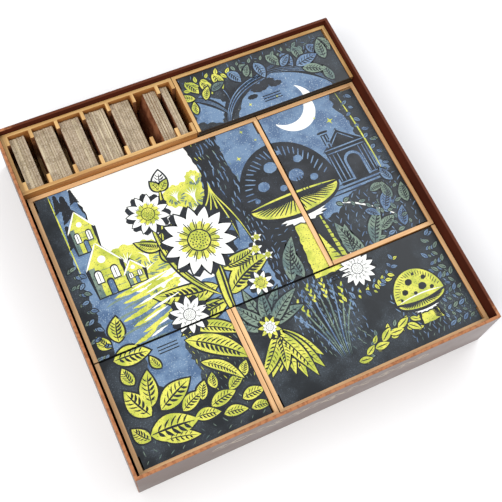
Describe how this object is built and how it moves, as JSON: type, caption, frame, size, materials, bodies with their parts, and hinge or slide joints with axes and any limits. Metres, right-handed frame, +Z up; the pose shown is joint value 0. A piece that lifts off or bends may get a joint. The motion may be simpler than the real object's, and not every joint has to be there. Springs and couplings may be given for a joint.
{
  "type": "board game box",
  "caption": "Open square cardboard game box holding wooden trays with sliding printed lids and an open tray of chipboard tiles standing on edge.",
  "frame": {"origin": "centre of the underside of the box", "axes": "+Z up; +X to the right and -Y to the front of the box"},
  "size_m": [0.295, 0.295, 0.056],
  "materials": {
    "greyboard": "matt",
    "wrap_paper": "satin print",
    "lining_paper": "matt",
    "tray_wood": "bare laser-cut edges",
    "printed_lid": "satin print",
    "chipboard": "matt cut edges"
  },
  "bodies": {
    "box": {"bottom_board": "greyboard", "front_board": "greyboard", "back_board": "greyboard", "left_board": "greyboard", "right_board": "greyboard", "bottom_paper": "wrap_paper", "outer_wrap": "wrap_paper", "lining": "lining_paper"},
    "main_tray": {"main_tray_floor": "tray_wood", "main_tray_back_wall": "tray_wood", "main_tray_front_wall": "tray_wood", "main_tray_left_wall": "tray_wood", "main_tray_right_wall": "tray_wood"},
    "main_tray_lid": {"main_tray_lid": "printed_lid"},
    "side_tray": {"side_tray_floor": "tray_wood", "side_tray_right_wall": "tray_wood", "side_tray_left_wall": "tray_wood", "side_tray_back_wall": "tray_wood", "side_tray_front_wall": "tray_wood"},
    "side_tray_lid": {"side_tray_lid": "printed_lid"},
    "corner_tray": {"corner_tray_floor": "tray_wood", "corner_tray_front_wall": "tray_wood", "corner_tray_back_wall": "tray_wood", "corner_tray_right_wall": "tray_wood", "corner_tray_left_wall": "tray_wood"},
    "corner_tray_lid": {"corner_tray_lid": "printed_lid"},
    "wide_tray": {"wide_tray_floor": "tray_wood", "wide_tray_front_wall": "tray_wood", "wide_tray_back_wall": "tray_wood", "wide_tray_right_wall": "tray_wood", "wide_tray_left_wall": "tray_wood"},
    "wide_tray_lid": {"wide_tray_lid": "printed_lid"},
    "long_tray": {"long_tray_floor": "tray_wood", "long_tray_back_wall": "tray_wood", "long_tray_front_wall": "tray_wood", "long_tray_left_wall": "tray_wood", "long_tray_right_wall": "tray_wood"},
    "long_tray_lid": {"long_tray_lid": "printed_lid"},
    "tile_tray": {"tile_tray_floor": "tray_wood", "tile_tray_front_wall": "tray_wood", "tile_tray_back_wall": "tray_wood", "tile_tray_left_wall": "tray_wood", "tile_tray_left_end_plate": "tray_wood", "tile_tray_right_end_plate": "tray_wood", "divider_1": "tray_wood", "divider_2": "tray_wood", "divider_3": "tray_wood", "divider_4": "tray_wood", "divider_5": "tray_wood", "divider_6": "tray_wood"},
    "tile_stack_1": {"tile_stack_1": "chipboard"},
    "tile_stack_2": {"tile_stack_2": "chipboard"},
    "tile_stack_3": {"tile_stack_3": "chipboard"},
    "tile_stack_4": {"tile_stack_4": "chipboard"},
    "tile_stack_5": {"tile_stack_5": "chipboard"},
    "tile_stack_6": {"tile_stack_6": "chipboard"},
    "tile_stack_7": {"tile_stack_7": "chipboard"}
  },
  "joints": [
    {"name": "main_tray_lift", "type": "slide", "parent": "box", "child": "main_tray", "axis": [0, 0, 1], "range_m": [0, 0.14]},
    {"name": "main_tray_lid_slide", "type": "slide", "parent": "main_tray", "child": "main_tray_lid", "axis": [0, -1, 0], "range_m": [0, 0.042]},
    {"name": "side_tray_lift", "type": "slide", "parent": "box", "child": "side_tray", "axis": [0, 0, 1], "range_m": [0, 0.2]},
    {"name": "side_tray_lid_slide", "type": "slide", "parent": "side_tray", "child": "side_tray_lid", "axis": [-1, 0, 0], "range_m": [0, 0.06]},
    {"name": "corner_tray_lift", "type": "slide", "parent": "box", "child": "corner_tray", "axis": [0, 0, 1], "range_m": [0, 0.08]},
    {"name": "corner_tray_lid_slide", "type": "slide", "parent": "corner_tray", "child": "corner_tray_lid", "axis": [0, 1, 0], "range_m": [0, 0.024]},
    {"name": "wide_tray_lift", "type": "slide", "parent": "box", "child": "wide_tray", "axis": [0, 0, 1], "range_m": [0, 0.08]},
    {"name": "wide_tray_lid_slide", "type": "slide", "parent": "wide_tray", "child": "wide_tray_lid", "axis": [0, 1, 0], "range_m": [0, 0.024]},
    {"name": "long_tray_lift", "type": "slide", "parent": "box", "child": "long_tray", "axis": [0, 0, 1], "range_m": [0, 0.06]},
    {"name": "long_tray_lid_slide", "type": "slide", "parent": "long_tray", "child": "long_tray_lid", "axis": [0, -1, 0], "range_m": [0, 0.05]},
    {"name": "tile_tray_lift", "type": "slide", "parent": "box", "child": "tile_tray", "axis": [0, 0, 1], "range_m": [0, 0.06]},
    {"name": "tile_stack_1_lift", "type": "slide", "parent": "tile_tray", "child": "tile_stack_1", "axis": [0, 0, 1], "range_m": [0, 0.05]},
    {"name": "tile_stack_2_lift", "type": "slide", "parent": "tile_tray", "child": "tile_stack_2", "axis": [0, 0, 1], "range_m": [0, 0.05]},
    {"name": "tile_stack_3_lift", "type": "slide", "parent": "tile_tray", "child": "tile_stack_3", "axis": [0, 0, 1], "range_m": [0, 0.05]},
    {"name": "tile_stack_4_lift", "type": "slide", "parent": "tile_tray", "child": "tile_stack_4", "axis": [0, 0, 1], "range_m": [0, 0.05]},
    {"name": "tile_stack_5_lift", "type": "slide", "parent": "tile_tray", "child": "tile_stack_5", "axis": [0, 0, 1], "range_m": [0, 0.05]},
    {"name": "tile_stack_6_lift", "type": "slide", "parent": "tile_tray", "child": "tile_stack_6", "axis": [0, 0, 1], "range_m": [0, 0.05]},
    {"name": "tile_stack_7_lift", "type": "slide", "parent": "tile_tray", "child": "tile_stack_7", "axis": [0, 0, 1], "range_m": [0, 0.05]}
  ],
  "couplings": [
    {"joint": "main_tray_lid_slide", "follows": "main_tray_lift", "ratio": 0.3},
    {"joint": "side_tray_lid_slide", "follows": "side_tray_lift", "ratio": 0.3},
    {"joint": "corner_tray_lid_slide", "follows": "corner_tray_lift", "ratio": 0.3},
    {"joint": "wide_tray_lid_slide", "follows": "wide_tray_lift", "ratio": 0.3}
  ]
}
